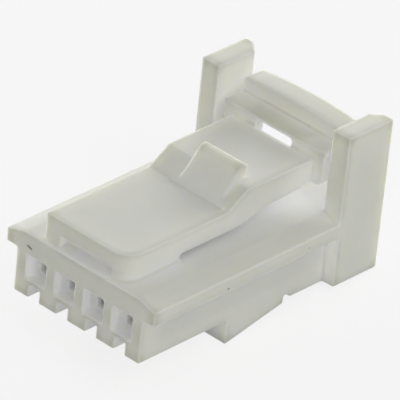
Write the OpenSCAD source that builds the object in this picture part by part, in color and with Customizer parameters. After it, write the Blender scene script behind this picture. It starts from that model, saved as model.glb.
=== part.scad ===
// Wire to board connector housing with an integral lock lever, moulded in one piece.
// Millimetres, +Z up. The mating face looks along -Y and the wires leave along +Y.
// Origin: on the mating face, in the middle of the row of circuits, level with the pins.
// Every height below is measured from the underside of the body.

/* [Circuits] */
// Number of circuits in the row
circuits = 4; // [3:1:10]
// Distance between neighbouring circuits
pitch = 2.0; // [1.8:0.1:2.5]
// Distance from an outer circuit to the side wall of the body
end_margin = 1.375; // [1.2:0.025:1.8]

/* [Body] */
// Height of the body from its underside to the underside of the side rails
body_height = 2.5; // [2.2:0.1:3]
// Height of the outer faces of the side rails
rail_height = 0.81; // [0.5:0.01:1.2]
// Distance the rails and the ears stand out from the side walls
rail_out = 0.76; // [0.4:0.02:1]
// Distance from the mating face to the front of the ears
front_length = 13.35; // [12.5:0.05:15]
// Rise of the deck above the outer edges of the rails
deck_rise = 0.33; // [0.15:0.01:0.5]
// Inset of the flat deck from the side walls of the body
deck_inset = 0.4; // [0.2:0.02:0.8]

/* [Ears] */
// Length of each ear from front to rear
ear_length = 3.25; // [2.5:0.05:4]
// Thickness of each ear
ear_thickness = 1.2; // [0.9:0.05:1.5]
// Height of the ears above the underside of the body
ear_top = 8.37; // [7.8:0.01:9]
// Cut across the inner rear corner of each ear
ear_chamfer = 0.6; // [0.1:0.05:0.8]

/* [Underside] */
// Distance from the mating face to the front of the stop rib
rib_front = 6.35; // [5.8:0.05:7]
// Depth of the stop rib at its front
rib_depth = 1.39; // [0.8:0.01:1.8]
// Length of the stop rib
rib_length = 4.15; // [3:0.05:4.4]
// Depth of the stop rib at its rear end
rib_end_depth = 0.57; // [0.3:0.01:0.7]
// Depth of the land between the stop rib and the rear section
land_depth = 0.14; // [0.05:0.01:0.25]
// Distance from the mating face to the start of the deeper rear section
rear_start = 10.95; // [10.9:0.05:12]
// Depth of the rear section below the underside of the body
rear_depth = 0.38; // [0.2:0.01:0.5]

/* [Mating face] */
// Width of the pocket in front of each pin hole
pocket_width = 1.36; // [1:0.02:1.5]
// Height of the pocket floor above the underside
pocket_floor = 1.0; // [0.9:0.02:1.2]
// Height of the pocket roof above the underside
pocket_roof = 2.38; // [2.2:0.02:2.45]
// Depth of the pocket
pocket_depth = 0.59; // [0.3:0.01:0.8]
// Width and height of the square pin hole
pin_hole = 0.56; // [0.5:0.02:0.8]
// Height of the pin row above the underside
pin_height = 1.64; // [1.5:0.02:1.8]
// Width of the slot below each circuit
slot_width = 0.74; // [0.5:0.02:0.9]
// Height of the slot below each circuit
slot_height = 0.75; // [0.66:0.01:0.8]
// Length of the slot from the mating face
slot_length = 5.4; // [4.5:0.1:5.8]

/* [Cavities] */
// Width of each terminal cavity
cavity_width = 1.55; // [1.3:0.05:1.65]
// Height of the cavity floor above the underside
cavity_floor = 0.62; // [0.5:0.02:0.64]
// Height of the cavity roof above the underside
cavity_roof = 2.62; // [2.4:0.02:2.7]
// Thickness of the wall between a pocket and its cavity
front_wall = 0.56; // [0.4:0.02:0.8]
// Flare of the wire entries at the rear end
entry_flare = 0.15; // [0.05:0.01:0.2]
// Length of the flare
flare_length = 0.5; // [0.3:0.05:1]
// Width of the lance that holds a terminal
lance_width = 0.46; // [0.3:0.02:0.5]
// Length of the lance
lance_length = 2.7; // [2:0.1:3.5]
// Thickness of the lance
lance_thickness = 0.34; // [0.25:0.01:0.4]
// Height of the lance tip above the underside
lance_tip = 1.05; // [0.9:0.05:1.3]

/* [Lock lever] */
// Distance from the edge of the lever to the side wall of the body
lever_inset = 1.57; // [1.4:0.01:1.8]
// Set-back of the lever root from the mating face
lever_setback = 0.25; // [0.1:0.01:0.6]
// Radius of the right-hand front corner of the lever root
root_radius = 1.05; // [0.3:0.05:1.2]
// Distance from the mating face to the rear of the lever root
root_end = 4.12; // [3.5:0.02:5]
// Height of the front plate of the lever above the underside
front_plate_top = 5.2; // [4.9:0.02:5.4]
// Height of the rear plate of the lever above the underside
rear_plate_top = 6.05; // [5.8:0.01:6.3]
// Distance from the mating face to the foot of the rise
rise_start = 7.42; // [6.8:0.02:7.8]
// Length of the rise
rise_length = 1.33; // [1:0.01:1.8]
// Clear gap between the deck and the front part of the lever
front_gap = 0.36; // [0.2:0.01:0.5]
// Distance from the mating face to where the underside starts to rise
gap_end = 8.4; // [8:0.1:9]
// Distance from the mating face to the middle of the rear underside
mid_position = 10.5; // [10:0.1:11.5]
// Height of the underside at that place
mid_underside = 4.47; // [4.3:0.01:4.6]
// Distance from the mating face to the last bend of the underside
bend_position = 12.7; // [12:0.1:13]
// Height of the underside at the last bend
bend_underside = 4.6; // [4.4:0.02:4.8]
// Height of the underside at the rear edge of the plate
rear_underside = 4.86; // [4.7:0.02:5]
// Distance from the mating face to the rear edge of the lever plate
plate_end = 13.6; // [13.2:0.05:13.9]

/* [Front recess] */
// Width of the pillars on both sides of the recess below the lever root
recess_pillar = 1.04; // [0.6:0.02:1.3]
// Height of the recess roof above the underside
recess_roof = 4.28; // [4:0.02:4.5]
// Depth of the recess behind the face of the lever root
recess_depth = 0.6; // [0.2:0.05:0.8]

/* [Lock nub] */
// Width of the nub
nub_width = 2.9; // [2:0.05:3.3]
// Sideways offset of the nub from the middle of the lever
nub_offset = 0.57; // [0:0.01:0.6]
// Distance from the mating face to the foot of the nub
nub_start = 7.6; // [7.5:0.02:7.8]
// Length of the sloping front of the nub
nub_slope_length = 1.32; // [0.8:0.02:1.5]
// Height of the top of the nub above the underside
nub_top = 6.87; // [6.5:0.01:7.2]
// Length of the flat top of the nub
nub_flat = 0.5; // [0.3:0.05:1]
// Radius of the front edge of the nub's top
nub_radius = 0.35; // [0.05:0.05:0.5]
// Length of the shallow valley in front of the nub
valley_length = 0.85; // [0.3:0.05:1]
// Depth of the valley at the foot of the nub
valley_depth = 0.1; // [0.04:0.01:0.15]
// Distance the valley reaches past each end of the nub
valley_margin = 0.42; // [0.1:0.02:0.5]

/* [Thumb bar] */
// Clearance between the bar and each ear
bar_clearance = 0.4; // [0.25:0.05:0.6]
// Height of the underside of the bar above the underside of the body
bar_bottom = 6.44; // [6.3:0.02:6.5]
// Height of the top of the bar
bar_top = 6.64; // [6.55:0.01:6.8]
// Distance from the mating face to the front of the bar
bar_front = 13.5; // [13.2:0.05:13.7]
// Distance from the mating face to the front of the upper wall
wall_front = 14.9; // [14.5:0.05:15.2]
// Thickness of the upper wall
wall_thickness = 1.42; // [1:0.02:1.6]
// Height of the upper wall at its middle
wall_top = 7.58; // [7.3:0.02:7.8]
// Drop of the upper wall from its middle to its ends
wall_crown = 0.26; // [0.1:0.02:0.5]
// Width of each leg under the bar
leg_width = 1.5; // [1.2:0.05:1.8]
// Set-back of each leg from the end of the bar
leg_inset = 0.1; // [0:0.02:0.2]
// Height of the foot of each leg above the underside
leg_bottom = 4.66; // [4.5:0.02:4.9]
// Radius of the lower corners of each leg
foot_radius = 0.45; // [0.2:0.05:0.55]
// Thickness of the web between the legs
web_thickness = 0.45; // [0.3:0.05:0.8]
// Width of the window in the web
window_width = 2.4; // [1.5:0.05:2.8]
// Height of the window sill above the underside
window_sill = 5.7; // [5.4:0.05:5.9]
// Depth of the notch the window leaves in the rear edge of the plate
window_notch = 0.28; // [0.1:0.02:0.4]

/* [Hidden] */
$fn = 64;
// small overlap that keeps joined shapes in one solid
lap = 0.05;
body_width = (circuits - 1) * pitch + 2 * end_margin;
body_half = body_width / 2;
rail_top = body_height + rail_height;
deck_top = rail_top + deck_rise;
deck_half = body_half - deck_inset;
total_length = front_length + ear_length;
ear_outer = body_half + rail_out;
ear_inner = ear_outer - ear_thickness;
lever_half = body_half - lever_inset;
lever_bottom = deck_top + front_gap;
rise_end = rise_start + rise_length;
bar_half = ear_inner - bar_clearance;
leg_outer = bar_half - leg_inset;
leg_inner = leg_outer - leg_width;
wall_rear = wall_front + wall_thickness;
crown_radius = (pow(bar_half, 2) + pow(wall_crown, 2)) / (2 * wall_crown);
cavity_start = pocket_depth + front_wall;
rib_end = rib_front + rib_length;
rise_slope = (rear_plate_top - front_plate_top) / rise_length;
nub_end = nub_start + nub_slope_length + nub_flat;
nub_foot = front_plate_top + (nub_start - rise_start) * rise_slope;
nub_angle = atan2(nub_top - nub_foot, nub_slope_length);
nub_tangent = nub_radius * tan(nub_angle / 2);
gap_radius = front_gap / 2;
colour_resin = [0.87, 0.86, 0.80];

// Circuits: sideways position of one circuit, counted from the left
function circuit_x(i) = (i - (circuits - 1) / 2) * pitch;

// A block given by its least and greatest corner
module block(low, high) {
    translate(low) cube(high - low);
}

// A side profile of [y, z] points drawn out across the width from x0 to x1
module across(points, x0, x1) {
    translate([x0, 0, 0]) rotate([90, 0, 90]) linear_extrude(x1 - x0) polygon(points);
}

// A plan of [x, y] points drawn up from z0 to z1
module upward(points, z0, z1) {
    translate([0, 0, z0]) linear_extrude(z1 - z0) polygon(points);
}

// Body with its rear section, stop rib and side rails
module body_shell() {
    across([[0, 0], [rib_front, 0], [rib_front, -rib_depth], [rib_end, -rib_end_depth],
            [rib_end, -land_depth], [rear_start, -land_depth], [rear_start, -rear_depth],
            [total_length, -rear_depth], [total_length, rail_top], [0, rail_top]],
           -body_half, body_half);
    // rails with a deck that falls away to their outer faces
    translate([0, total_length, 0]) rotate([90, 0, 0]) linear_extrude(total_length)
        polygon([[-ear_outer, body_height], [ear_outer, body_height], [ear_outer, rail_top],
                 [deck_half, deck_top], [-deck_half, deck_top], [-ear_outer, rail_top]]);
}

// One ear on the right-hand side; the left one is its mirror image
module ear() {
    upward([[ear_inner, front_length], [ear_outer, front_length], [ear_outer, total_length],
            [ear_inner + ear_chamfer, total_length], [ear_inner, total_length - ear_chamfer]],
           -rear_depth, ear_top);
}

// Root of the lever: an upright block whose right-hand front corner is rounded
module lever_root() {
    translate([0, 0, rail_top]) linear_extrude(front_plate_top - rail_top) {
        translate([-lever_half, lever_setback + root_radius])
            square([2 * lever_half, root_end - lever_setback - root_radius]);
        translate([-lever_half, lever_setback])
            square([2 * lever_half - root_radius, root_radius + lap]);
        translate([lever_half - root_radius, lever_setback + root_radius]) circle(root_radius);
    }
}

// Plate of the lever, from the root up the rise to its rear edge
module lever_plate() {
    difference() {
        across([[root_end - lap, rail_top], [root_end + gap_radius, rail_top],
                [root_end + gap_radius, deck_top + front_gap], [gap_end, deck_top + front_gap],
                [mid_position, mid_underside], [bend_position, bend_underside],
                [plate_end, rear_underside], [plate_end, rear_plate_top],
                [rise_end, rear_plate_top], [rise_start, front_plate_top],
                [root_end - lap, front_plate_top]],
               -lever_half, lever_half);
        // rounded end of the gap
        translate([-lever_half - 1, root_end + gap_radius, deck_top + gap_radius])
            rotate([0, 90, 0]) cylinder(r = gap_radius, h = 2 * lever_half + 2);
    }
}

// Nub that snaps behind the edge of the header
module lock_nub() {
    across(concat([[nub_start - lap, front_plate_top - valley_depth - lap], [nub_start, nub_foot]],
                  // rounded front edge of the top
                  [for (t = [0 : 0.25 : 1])
                      [nub_start + nub_slope_length + nub_tangent
                           - nub_radius * sin(nub_angle * (1 - t)),
                       nub_top - nub_radius * (1 - cos(nub_angle * (1 - t)))]],
                  [[nub_end, nub_top], [nub_end, rear_plate_top - lap],
                   [rise_end, rear_plate_top - lap]]),
           nub_offset - nub_width / 2, nub_offset + nub_width / 2);
}

// Shallow valley in the front plate before the nub
module valley() {
    across([[rise_start - valley_length, front_plate_top], [rise_start, front_plate_top - valley_depth],
            [rise_start + valley_depth / rise_slope, front_plate_top + valley_depth],
            [rise_start - valley_length, front_plate_top + valley_depth]],
           nub_offset - nub_width / 2 - valley_margin, nub_offset + nub_width / 2 + valley_margin);
}

// One leg on the right-hand side, rounded at its foot
module leg() {
    translate([0, wall_front + lap, 0]) rotate([90, 0, 0])
        linear_extrude(wall_front + lap - bar_front) {
            translate([leg_inner, leg_bottom + foot_radius])
                square([leg_width, bar_top - lap - leg_bottom - foot_radius]);
            translate([leg_inner + foot_radius, leg_bottom])
                square([leg_width - 2 * foot_radius, foot_radius + lap]);
            for (x = [leg_inner + foot_radius, leg_outer - foot_radius])
                translate([x, leg_bottom + foot_radius]) circle(foot_radius);
        }
}

// Thumb bar with its legs, the web between them and the crowned wall behind
module thumb_bar() {
    block([-bar_half, bar_front, bar_bottom], [bar_half, wall_front + lap, bar_top]);
    block([-leg_inner - lap, bar_front, rear_underside],
          [leg_inner + lap, bar_front + web_thickness, bar_bottom + lap]);
    intersection() {
        block([-bar_half, wall_front, bar_bottom], [bar_half, wall_rear, wall_top + 1]);
        translate([0, wall_rear + 1, wall_top - crown_radius])
            rotate([90, 0, 0]) cylinder(r = crown_radius, h = wall_thickness + 2, $fn = 256);
    }
    leg();
    mirror([1, 0, 0]) leg();
}

// Window through the web and the rear edge of the plate
module window() {
    block([-window_width / 2, plate_end - window_notch, window_sill],
          [window_width / 2, bar_front + web_thickness + 1, bar_bottom]);
}

// Recess in the front of the lever root, open to the rails below
module front_recess() {
    recess_half = lever_half - recess_pillar;
    block([-recess_half, -1, deck_top], [recess_half, lever_setback + recess_depth, recess_roof]);
}

// Everything removed for one circuit: pocket, pin hole, slot and cavity with its wire entry
module circuit_cut() {
    cavity_half = cavity_width / 2;
    block([-pocket_width / 2, -1, pocket_floor], [pocket_width / 2, pocket_depth, pocket_roof]);
    block([-pin_hole / 2, 0, pin_height - pin_hole / 2],
          [pin_hole / 2, cavity_start + lap, pin_height + pin_hole / 2]);
    block([-slot_width / 2, -1, -1], [slot_width / 2, slot_length, slot_height]);
    intersection() {
        across([[cavity_start, cavity_floor], [total_length - flare_length, cavity_floor],
                [total_length, cavity_floor - entry_flare], [total_length + 1, cavity_floor - entry_flare],
                [total_length + 1, cavity_roof + entry_flare], [total_length, cavity_roof + entry_flare],
                [total_length - flare_length, cavity_roof], [cavity_start, cavity_roof]],
               -pitch / 2, pitch / 2);
        upward([[-cavity_half, cavity_start], [cavity_half, cavity_start],
                [cavity_half, total_length - flare_length],
                [cavity_half + entry_flare, total_length], [cavity_half + entry_flare, total_length + 1],
                [-cavity_half - entry_flare, total_length + 1], [-cavity_half - entry_flare, total_length],
                [-cavity_half, total_length - flare_length]],
               -1, rail_top);
    }
}

// Lance that springs behind a terminal, rooted at the rear end of the slot
module lance() {
    across([[slot_length + lap, 0], [slot_length + lap, lance_thickness],
            [slot_length - lance_length, lance_tip], [slot_length - lance_length, lance_tip - lance_thickness],
            [slot_length - lance_thickness, 0]],
           -lance_width / 2, lance_width / 2);
}

// The whole housing
module housing() {
    color(colour_resin) translate([0, 0, -pin_height]) {
        difference() {
            union() {
                body_shell();
                ear();
                mirror([1, 0, 0]) ear();
                difference() {
                    union() {
                        lever_root();
                        lever_plate();
                    }
                    valley();
                }
                lock_nub();
                thumb_bar();
            }
            window();
            front_recess();
            for (i = [0 : circuits - 1]) translate([circuit_x(i), 0, 0]) circuit_cut();
        }
        for (i = [0 : circuits - 1]) translate([circuit_x(i), 0, 0]) lance();
    }
}

housing();
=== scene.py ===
"""Dresses the moulded connector housing: soft edges, milky resin with painted glow in hollows and
painted shade on rims, studio light and camera.
"""

import logging
import math
from dataclasses import dataclass
from enum import Enum
from typing import Any, Iterable, Sequence, Union

import bpy
from mathutils import Matrix, Vector


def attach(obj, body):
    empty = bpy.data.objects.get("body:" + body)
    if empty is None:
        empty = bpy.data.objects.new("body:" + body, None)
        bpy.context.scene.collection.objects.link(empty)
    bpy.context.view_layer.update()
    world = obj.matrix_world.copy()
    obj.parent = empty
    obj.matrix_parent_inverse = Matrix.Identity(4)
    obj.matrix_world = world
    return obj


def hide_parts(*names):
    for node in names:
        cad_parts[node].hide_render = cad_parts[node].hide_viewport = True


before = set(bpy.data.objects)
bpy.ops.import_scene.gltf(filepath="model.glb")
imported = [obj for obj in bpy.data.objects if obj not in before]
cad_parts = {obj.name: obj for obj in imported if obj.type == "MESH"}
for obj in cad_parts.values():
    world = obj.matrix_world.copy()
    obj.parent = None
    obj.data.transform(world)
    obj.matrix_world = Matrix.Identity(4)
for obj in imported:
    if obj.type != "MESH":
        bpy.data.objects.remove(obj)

log = logging.getLogger("housing")

MM = 0.001
MIDDLE = 0.5  # middle of a noise that runs from 0 to 1
LOOKS_AROUND = 12  # directions tried at each place
SPECK_EDGE = (0.45, 1.5)  # where a speck starts and ends to fade, in squared half widths
Triple = tuple[float, float, float]


class Ray(Enum):
    """Kinds of ray that are shown the plain white room."""

    CAMERA = "Is Camera Ray"
    GLOSSY = "Is Glossy Ray"
    TRANSMISSION = "Is Transmission Ray"


# ---------------------------------------------------------------- shader building


class Sock:
    """A socket whose arithmetic adds Math nodes, or Vector Math nodes for vectors."""

    def __init__(self, tree: "ShaderTree", out: bpy.types.NodeSocket, vector: bool = False) -> None:
        """Keeps the tree and the output socket.

        Args:
            tree: The shader tree the socket belongs to.
            out: The output socket.
            vector: True where the socket carries a vector.
        """
        self.tree = tree
        self.out = out
        self.vector = vector

    def _math(self, operation: str, *values: Any) -> "Sock":
        """Adds a Math or Vector Math node.

        Args:
            operation: The node's operation.
            values: Its inputs, in order.

        Returns:
            The node's result.
        """
        kind = "ShaderNodeVectorMath" if self.vector else "ShaderNodeMath"
        return self.tree.add(kind, {"operation": operation}, *values, vector=self.vector)

    def __add__(self, other: Any) -> "Sock":
        """Sum."""
        return self._math("ADD", self, other)

    def __radd__(self, other: Any) -> "Sock":
        """Sum, reflected."""
        return self._math("ADD", other, self)

    def __sub__(self, other: Any) -> "Sock":
        """Difference."""
        return self._math("SUBTRACT", self, other)

    def __rsub__(self, other: Any) -> "Sock":
        """Difference, reflected."""
        return self._math("SUBTRACT", other, self)

    def __mul__(self, other: Any) -> "Sock":
        """Product."""
        return self._math("MULTIPLY", self, other)

    def __rmul__(self, other: Any) -> "Sock":
        """Product, reflected."""
        return self._math("MULTIPLY", other, self)

    def clamp(self) -> "Sock":
        """Value held between 0 and 1."""
        return self.tree.add("ShaderNodeClamp", {}, self)

    def largest(self, other: Any) -> "Sock":
        """The larger of two values."""
        return self._math("MAXIMUM", self, other)

    def ramp(self, low: float, high: float) -> "Sock":
        """Smooth step from 0 at low to 1 at high.

        Args:
            low: Value that gives 0.
            high: Value that gives 1.

        Returns:
            The stepped value.
        """
        return self.tree.add(
            "ShaderNodeMapRange", {"interpolation_type": "SMOOTHSTEP"}, self, low, high, 0.0, 1.0
        )


Value = Union[Sock, float, Sequence[float]]


class ShaderTree:
    """One material's or world's node tree."""

    def __init__(self, tree: bpy.types.NodeTree) -> None:
        """Empties the tree and keeps it.

        Args:
            tree: The node tree to build in.
        """
        self.tree = tree
        tree.nodes.clear()

    def add(
        self,
        kind: str,
        settings: dict[str, Any],
        *inputs: Value,
        named: dict[str | int, Value] | None = None,
        out: str | int = 0,
        vector: bool = False,
    ) -> Sock:
        """Adds a node, sets its options first and then its sockets.

        Args:
            kind: The node's type.
            settings: Its options, such as an operation.
            inputs: Values or links for its sockets, in order.
            named: Values or links for sockets given by name or place.
            out: Name or place of the output wanted.
            vector: True where that output carries a vector.

        Returns:
            The wanted output.
        """
        node = self.tree.nodes.new(kind)
        for key, value in settings.items():
            setattr(node, key, value)
        for socket, value in zip(node.inputs, inputs):
            self._feed(socket, value)
        for name, value in (named or {}).items():
            self._feed(node.inputs[name], value)
        return Sock(self, node.outputs[out] if node.outputs else None, vector)

    def _feed(self, socket: bpy.types.NodeSocket, value: Value) -> None:
        """Links or sets one input socket.

        Args:
            socket: The input socket.
            value: A socket to link, a number or a sequence.
        """
        if isinstance(value, Sock):
            self.tree.links.new(value.out, socket)
        elif isinstance(value, (int, float)) and socket.type in {"VECTOR", "RGBA"}:
            socket.default_value = [float(value)] * len(socket.default_value)
        elif socket.type == "RGBA":
            socket.default_value = (*value[:3], 1.0)
        else:
            socket.default_value = value

    def noise(self, where: Sock, per_mm: float, detail: float = 2.0, rough: float = 0.5) -> Sock:
        """Fractal noise of the moulding's own coordinates.

        Args:
            where: Coordinates in metres.
            per_mm: Waves per millimetre.
            detail: Octaves.
            rough: Strength of the fine octaves.

        Returns:
            Noise from 0 to 1.
        """
        return self.add(
            "ShaderNodeTexNoise",
            {},
            named={"Vector": where, "Scale": per_mm / MM, "Detail": detail, "Roughness": rough},
        )

    def blend(self, factor: Value, low: Value, high: Value) -> Sock:
        """Mixes two colours.

        Args:
            factor: 0 gives low and 1 gives high.
            low: First colour.
            high: Second colour.

        Returns:
            The mixed colour.
        """
        sides = {0: factor, 6: low, 7: high}
        return self.add("ShaderNodeMix", {"data_type": "RGBA"}, named=sides, out=2, vector=True)

    def seen(self) -> Sock:
        """1 for the rays that see the room itself and 0 for those that light the part."""
        camera, glossy, through = (self.add("ShaderNodeLightPath", {}, out=ray.value) for ray in Ray)
        return camera.largest(glossy).largest(through)


@dataclass(frozen=True)
class Mottle:
    """One layer of fractal unevenness in the resin."""

    per_mm: float
    octaves: float = 2.0
    fineness: float = 0.5

    def over(self, t: ShaderTree, where: Sock) -> Sock:
        """The layer at a place, from 0 to 1."""
        return t.noise(where, self.per_mm, self.octaves, self.fineness)


@dataclass(frozen=True)
class Speck:
    """A dark speck moulded into the resin."""

    place_mm: Triple
    along_mm: Triple
    half_length_mm: float
    half_width_mm: float
    depth: float


@dataclass(frozen=True)
class NaturalResin:
    """Milky natural resin that light enters and leaves again nearby, its colour painted lighter in
    hollows and darker on rims and thin lips in place of light and shade.
    """

    colour: Triple = (0.78, 0.78, 0.735)
    thick: Triple = (0.72, 0.73, 0.655)
    # painted glow: near-white colour laid into hollows and recesses in place of light
    painted_hollow_glow: Triple = (0.97, 0.97, 0.945)
    # painted shade: dark olive colour laid onto rims, edges and thin lips in place of shade
    painted_rim_shade: Triple = (0.50, 0.505, 0.445)
    painted_glow_reach_mm: float = 3.0
    painted_shade_reach_mm: float = 0.7
    speck_colour: Triple = (0.10, 0.10, 0.07)
    roughness: float = 0.42
    scatter_mm: float = 0.9
    scatter_tint: Triple = (1.0, 0.96, 0.72)
    bump_strength: float = 0.12
    bump_mm: float = 0.02
    refraction: float = 1.5
    gloss: float = 0.35
    cloud: Mottle = Mottle(0.35, 3.0)
    grain: Mottle = Mottle(9.0, 3.0, 0.6)
    swirl: Mottle = Mottle(1.6)
    cloud_contrast: float = 1.4
    grain_roughness: float = 0.16
    swirl_roughness: float = 0.08
    grain_height: float = 0.6
    swirl_height: float = 0.9
    painted_glow_gain: float = 1.5
    painted_shade_from: float = 0.10
    painted_shade_to: float = 0.75
    specks: tuple[Speck, ...] = ()

    def material(self) -> bpy.types.Material:
        """Builds the resin's material, with painted glow in hollows and painted shade on rims.

        Returns:
            The finished material.
        """
        made = bpy.data.materials.new("natural_resin")
        made.use_nodes = True
        t = ShaderTree(made.node_tree)
        where = t.add("ShaderNodeTexCoord", {}, out="Object", vector=True)
        cloud = self.cloud.over(t, where)
        grain = self.grain.over(t, where)
        swirl = self.swirl.over(t, where)
        tone = (cloud - MIDDLE) * self.cloud_contrast + MIDDLE
        colour = t.blend(tone.clamp(), self.thick, self.colour)
        # painted glow mask: 1 in hollows and recesses, where the colour is lightened to stand in for
        # light that passes through the resin
        painted_glow_mask = 1.0 - self._openness(t, self.painted_glow_reach_mm, False)
        # painted shade mask: high on rims, edges and thin lips, where the colour is darkened to stand in
        # for shade
        painted_rim_shade = 1.0 - self._openness(t, self.painted_shade_reach_mm, True)
        colour = t.blend(painted_rim_shade.ramp(self.painted_shade_from, self.painted_shade_to), colour, self.painted_rim_shade)
        # lays the painted glow into the hollows
        colour = t.blend((painted_glow_mask * self.painted_glow_gain).clamp(), colour, self.painted_hollow_glow)
        mask = self._specks(t, where)
        colour = t.blend(mask, colour, self.speck_colour)
        uneven = (grain - MIDDLE) * self.grain_roughness + (swirl - MIDDLE) * self.swirl_roughness
        rough = uneven + self.roughness
        height = grain * self.grain_height + swirl * self.swirl_height
        bump = t.add(
            "ShaderNodeBump",
            {},
            named={"Strength": self.bump_strength, "Distance": self.bump_mm * MM, "Height": height},
            vector=True,
        )
        shader = t.add(
            "ShaderNodeBsdfPrincipled",
            {"subsurface_method": "RANDOM_WALK"},
            named={
                "Base Color": colour,
                "Roughness": rough.clamp(),
                "Normal": bump,
                "Subsurface Weight": 1.0,
                "Subsurface Radius": self.scatter_tint,
                "Subsurface Scale": self.scatter_mm * MM,
                "IOR": self.refraction,
                "Specular IOR Level": self.gloss,
            },
        )
        t.add("ShaderNodeOutputMaterial", {}, shader)
        return made

    def _openness(self, t: ShaderTree, reach_mm: float, inward: bool) -> Sock:
        """Share of directions in which the moulding meets none of its own surface.

        Args:
            t: The material's tree.
            reach_mm: How far each direction looks.
            inward: True looks into the resin, so that rims and thin lips stand out for the painted rim
                shade; False looks outwards, for the painted glow in hollows.

        Returns:
            1 in the open and 0 fully enclosed.
        """
        settings = {"samples": LOOKS_AROUND, "inside": inward, "only_local": True}
        reach = {"Distance": reach_mm * MM}
        return t.add("ShaderNodeAmbientOcclusion", settings, named=reach, out="AO")

    def _specks(self, t: ShaderTree, where: Sock) -> Sock:
        """Mask of the dark specks.

        Args:
            t: The material's tree.
            where: Coordinates in metres.

        Returns:
            1 inside a speck and 0 outside.
        """
        total: Sock | None = None
        for speck in self.specks:
            away = where - tuple(c * MM for c in speck.place_mm)
            axis = Vector(speck.along_mm).normalized()
            run = t.add(
                "ShaderNodeVectorMath", {"operation": "DOT_PRODUCT"}, away, tuple(axis), out="Value"
            )
            size = t.add("ShaderNodeVectorMath", {"operation": "LENGTH"}, away, out="Value")
            long = speck.half_length_mm / speck.half_width_mm
            # squared distance, shortened along the axis so that the speck is an ellipsoid
            across = size * size - run * run * (1.0 - 1.0 / long**2)
            edge = (speck.half_width_mm * MM) ** 2
            spot = (1.0 - (across * (1.0 / edge)).ramp(*SPECK_EDGE)) * speck.depth
            total = spot if total is None else total.largest(spot)
        return total if total is not None else t.add("ShaderNodeValue", {})


@dataclass(frozen=True)
class PaleFloor:
    """White sweep under the part, which keeps a faint shadow."""

    albedo: float = 0.93
    glow: float = 0.8

    def material(self) -> bpy.types.Material:
        """Builds the floor's material.

        Returns:
            The finished material.
        """
        made = bpy.data.materials.new("pale_floor")
        made.use_nodes = True
        t = ShaderTree(made.node_tree)
        plain = t.add("ShaderNodeBsdfDiffuse", {}, (self.albedo,) * 3)
        white = t.add("ShaderNodeEmission", {}, (1.0, 1.0, 1.0), 1.0)
        shader = t.add("ShaderNodeMixShader", {}, t.seen() * self.glow, plain, white)
        t.add("ShaderNodeOutputMaterial", {}, shader)
        return made


# ---------------------------------------------------------------- the moulding


@dataclass
class HousingShell:
    """The moulded housing with its edges softened as the mould leaves them."""

    node: str = "housing"
    slot: str = "housing"
    grain_mm: float = 0.045
    passes: int = 20
    most_triangles: int = 180_000
    draft_grain_mm: float = 0.09

    def build(self, resin: bpy.types.Material) -> bpy.types.Object:
        """Makes the softened copy of the moulding, dresses it and stands it for the solid.

        Args:
            resin: The material of the whole piece.

        Returns:
            The finished piece.
        """
        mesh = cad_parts[self.node].data.copy()
        mesh.name = "housing_shell"
        piece = bpy.data.objects.new("housing_shell", mesh)
        bpy.context.scene.collection.objects.link(piece)
        mesh.materials.clear()
        mesh.materials.append(resin)
        self._soften(piece)
        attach(piece, "root")
        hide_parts(self.node)
        log.info("%s: %d faces", piece.name, len(piece.data.polygons))
        return piece

    def _soften(self, piece: bpy.types.Object) -> None:
        """Rounds every edge by a few grains and thins the flat faces again.

        Args:
            piece: The piece to soften.
        """
        grains = piece.modifiers.new("even_grains", "REMESH")
        grains.mode = "VOXEL"
        grains.voxel_size = self.grain_mm * MM
        grains.use_smooth_shade = True
        smooth = piece.modifiers.new("soft_edges", "SMOOTH")
        smooth.factor = 0.5
        smooth.iterations = self.passes
        self._apply(piece)
        thin = piece.modifiers.new("thin_faces", "DECIMATE")
        thin.ratio = min(1.0, self.most_triangles / (2 * len(piece.data.polygons)))
        self._apply(piece)

    @staticmethod
    def _apply(piece: bpy.types.Object) -> None:
        """Turns the piece's modifiers into its mesh.

        Args:
            piece: The piece whose modifiers are applied.
        """
        seen = piece.evaluated_get(bpy.context.evaluated_depsgraph_get())
        mesh = bpy.data.meshes.new_from_object(seen)
        piece.modifiers.clear()
        old, piece.data = piece.data, mesh
        mesh.name = piece.name
        bpy.data.meshes.remove(old)


# ---------------------------------------------------------------- studio


@dataclass(frozen=True)
class Lamp:
    """One soft rectangular lamp, aimed at the part."""

    name: str
    azimuth: float
    elevation: float
    distance: float
    size: float
    power: float
    colour: Triple = (1.0, 1.0, 1.0)

    def build(self, target: Vector) -> None:
        """Hangs the lamp.

        Args:
            target: The point the lamp faces.
        """
        data = bpy.data.lights.new(self.name, "AREA")
        data.shape = "SQUARE"
        data.size = self.size
        data.energy = self.power
        data.color = self.colour
        lamp = bpy.data.objects.new(self.name, data)
        away = direction(self.azimuth, self.elevation)
        lamp.location = target + away * self.distance
        lamp.rotation_mode = "QUATERNION"
        lamp.rotation_quaternion = away.to_track_quat("Z", "Y")
        lamp.visible_camera = False
        bpy.context.scene.collection.objects.link(lamp)
        log.info("lamp %s", self.name)


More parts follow.
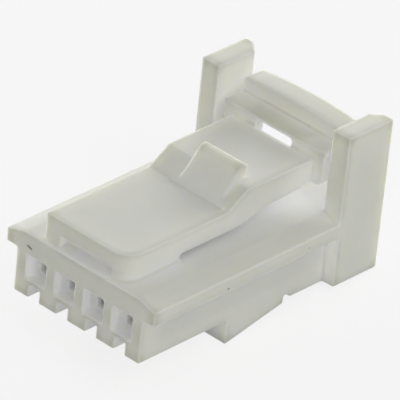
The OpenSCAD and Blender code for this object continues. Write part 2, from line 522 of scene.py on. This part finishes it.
@dataclass
class Studio:
    """Floor, room light, lamps and camera."""

    lean_deg: float = 5.63
    foot_mm: Triple = (0.0, 6.35, -3.03)
    floor_size: float = 4.0
    ambient: float = 0.215
    aim_mm: Triple = (0.025, 8.0, 1.36)
    azimuth: float = 40.807
    elevation: float = 31.361
    roll: float = -6.008
    distance: float = 0.3
    lens: float = 539.19
    shift: tuple[float, float] = (0.01784, 0.05756)
    lamps: tuple[Lamp, ...] = (
        Lamp("back", 180.0, 12.0, 0.62, 0.42, 2.63),
        Lamp("back_left", 225.0, 12.0, 0.62, 0.42, 0.82),
        Lamp("left", 270.0, 12.0, 0.62, 0.42, 2.01),
        Lamp("right", 90.0, 45.0, 0.62, 0.42, 0.95),
        Lamp("front", 45.0, 12.0, 0.62, 0.42, 0.75),
        Lamp("front_left", 315.0, 12.0, 0.62, 0.42, 0.27),
    )

    def build(self) -> None:
        """Sets up everything around the part."""
        self._floor()
        self._room()
        target = Vector(self.aim_mm) * MM
        for lamp in self.lamps:
            lamp.build(target)
        self._camera(target)
        bpy.context.scene.view_settings.view_transform = "Standard"

    def _floor(self) -> None:
        """Lays the floor under the rib tip and the ears, on which the part leans back."""
        mesh = bpy.data.meshes.new("floor")
        half = self.floor_size / 2
        corners = [(-half, -half, 0), (half, -half, 0), (half, half, 0), (-half, half, 0)]
        mesh.from_pydata(corners, [], [(0, 1, 2, 3)])
        floor = bpy.data.objects.new("floor", mesh)
        floor.location = Vector(self.foot_mm) * MM
        floor.rotation_euler = (math.radians(self.lean_deg), 0.0, 0.0)
        mesh.materials.append(PaleFloor().material())
        bpy.context.scene.collection.objects.link(floor)

    def _room(self) -> None:
        """Fills the room with even light and shows it white."""
        world = bpy.data.worlds.new("room")
        world.use_nodes = True
        bpy.context.scene.world = world
        t = ShaderTree(world.node_tree)
        level = t.seen() * (1.0 - self.ambient) + self.ambient
        shader = t.add("ShaderNodeBackground", {}, (1.0, 1.0, 1.0), level)
        t.add("ShaderNodeOutputWorld", {}, shader)

    def _camera(self, target: Vector) -> None:
        """Sets the camera.

        Args:
            target: The point the camera turns about.
        """
        data = bpy.data.cameras.new("camera")
        data.sensor_width = 36.0
        data.lens = self.lens
        data.shift_x, data.shift_y = self.shift
        data.clip_start, data.clip_end = 0.01, 10.0
        camera = bpy.data.objects.new("camera", data)
        back = direction(self.azimuth, self.elevation)
        level = Vector((math.cos(math.radians(self.azimuth)), math.sin(math.radians(self.azimuth)), 0.0))
        upward = back.cross(level)
        tilt = math.radians(self.roll)
        right = level * math.cos(tilt) - upward * math.sin(tilt)
        up = level * math.sin(tilt) + upward * math.cos(tilt)
        pose = Matrix((right, up, back)).transposed().to_4x4()
        pose.translation = target + back * self.distance
        camera.matrix_world = pose
        bpy.context.scene.collection.objects.link(camera)
        bpy.context.scene.camera = camera


def direction(azimuth: float, elevation: float) -> Vector:
    """Unit vector from the part towards a place around it.

    Args:
        azimuth: Degrees round the part, 0 in front of the mating face and 90 on the right.
        elevation: Degrees above the horizon.

    Returns:
        The direction.
    """
    a, e = math.radians(azimuth), math.radians(elevation)
    return Vector((math.sin(a) * math.cos(e), -math.cos(a) * math.cos(e), math.sin(e)))


def corners(box: Iterable[Vector]) -> list[list[float]]:
    """A box's corners as plain lists of numbers.

    Args:
        box: Lowest and highest corner.

    Returns:
        The same corners as lists.
    """
    return [[float(c) for c in corner] for corner in box]


def main() -> None:
    """Builds the housing and its studio."""
    logging.basicConfig(level=logging.INFO, format="%(name)s: %(message)s")
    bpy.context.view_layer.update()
    resin = NaturalResin(
        specks=(
            Speck((-3.53, 0.0, 1.24), (1.0, 0.0, -0.35), 0.2, 0.06, 0.9),
            Speck((5.135, 5.28, 1.07), (0.0, 1.0, 0.0), 0.08, 0.07, 0.55),
            Speck((5.135, 11.15, 1.2), (0.0, 1.0, 0.0), 0.07, 0.06, 0.3),
        )
    )
    HousingShell().build(resin.material())
    Studio().build()
    log.info("boxes written")


if __name__ == "__main__":
    main()
